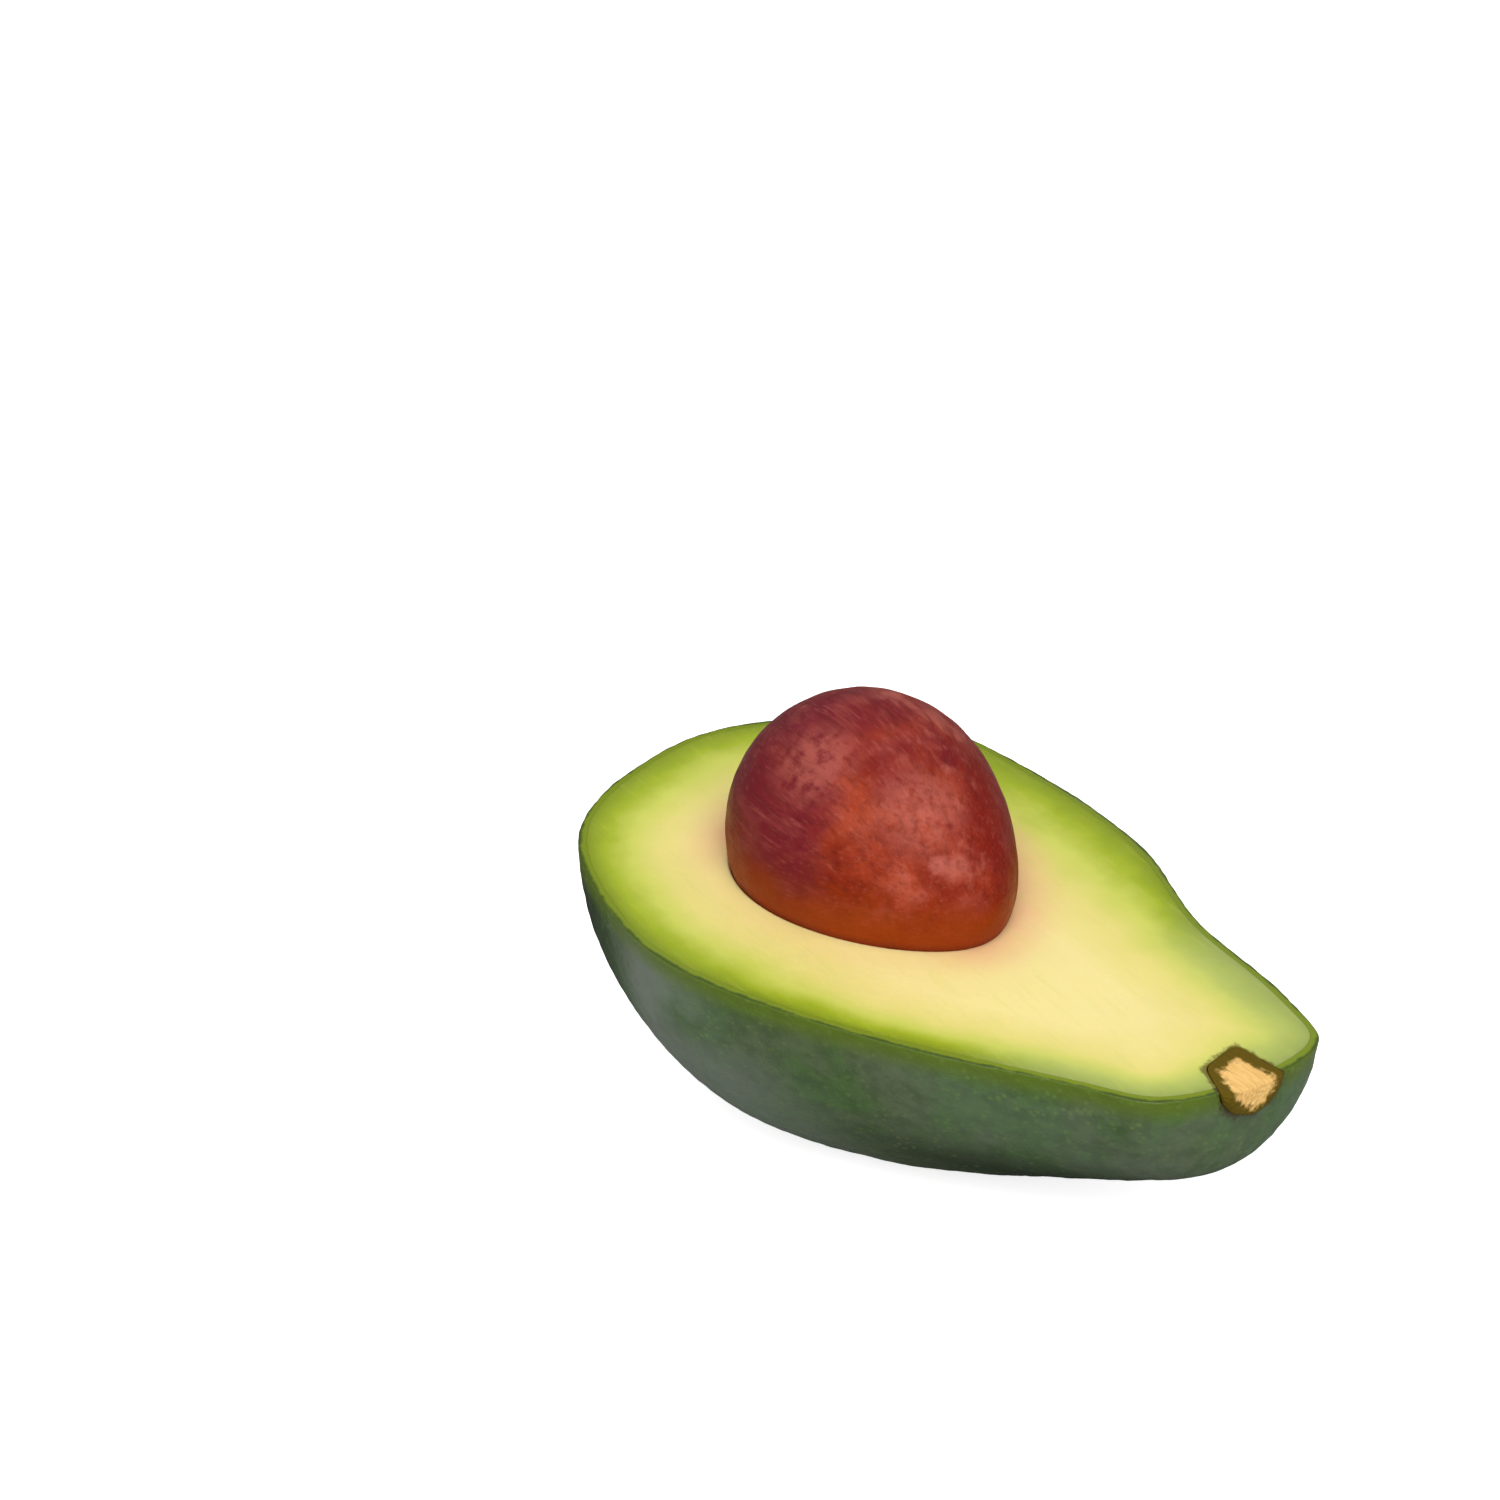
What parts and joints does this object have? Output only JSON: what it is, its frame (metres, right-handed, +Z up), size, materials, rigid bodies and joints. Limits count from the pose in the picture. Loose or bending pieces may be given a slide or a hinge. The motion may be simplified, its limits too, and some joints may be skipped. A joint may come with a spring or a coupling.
{
  "type": "avocado half",
  "caption": "Halved avocado lying on its back, cut face up with the large brown seed still in it and the stalk end cut through at the neck.",
  "frame": {"origin": "middle of the bounding box in plan, on the surface that the half rests on", "axes": "+X level from the blossom end toward the stem end, +Y toward the side to which the neck bends, +Z up; the cut face leans away from +Z, down toward the stem end and up toward +Y"},
  "size_m": [0.1142, 0.0754, 0.0654],
  "materials": {
    "skin": "finely pebbled dark green rind with a waxy satin gloss",
    "flesh": "smooth moist pale yellow, green toward the rind",
    "seed": "smooth red-brown coat with fine streaks and a soft sheen",
    "stem_stub": "freshly cut tan wood with a dark corky edge"
  },
  "bodies": {
    "root": {"skin": "skin", "flesh": "flesh", "seed": "seed", "stem_stub": "stem_stub"}
  },
  "joints": []
}
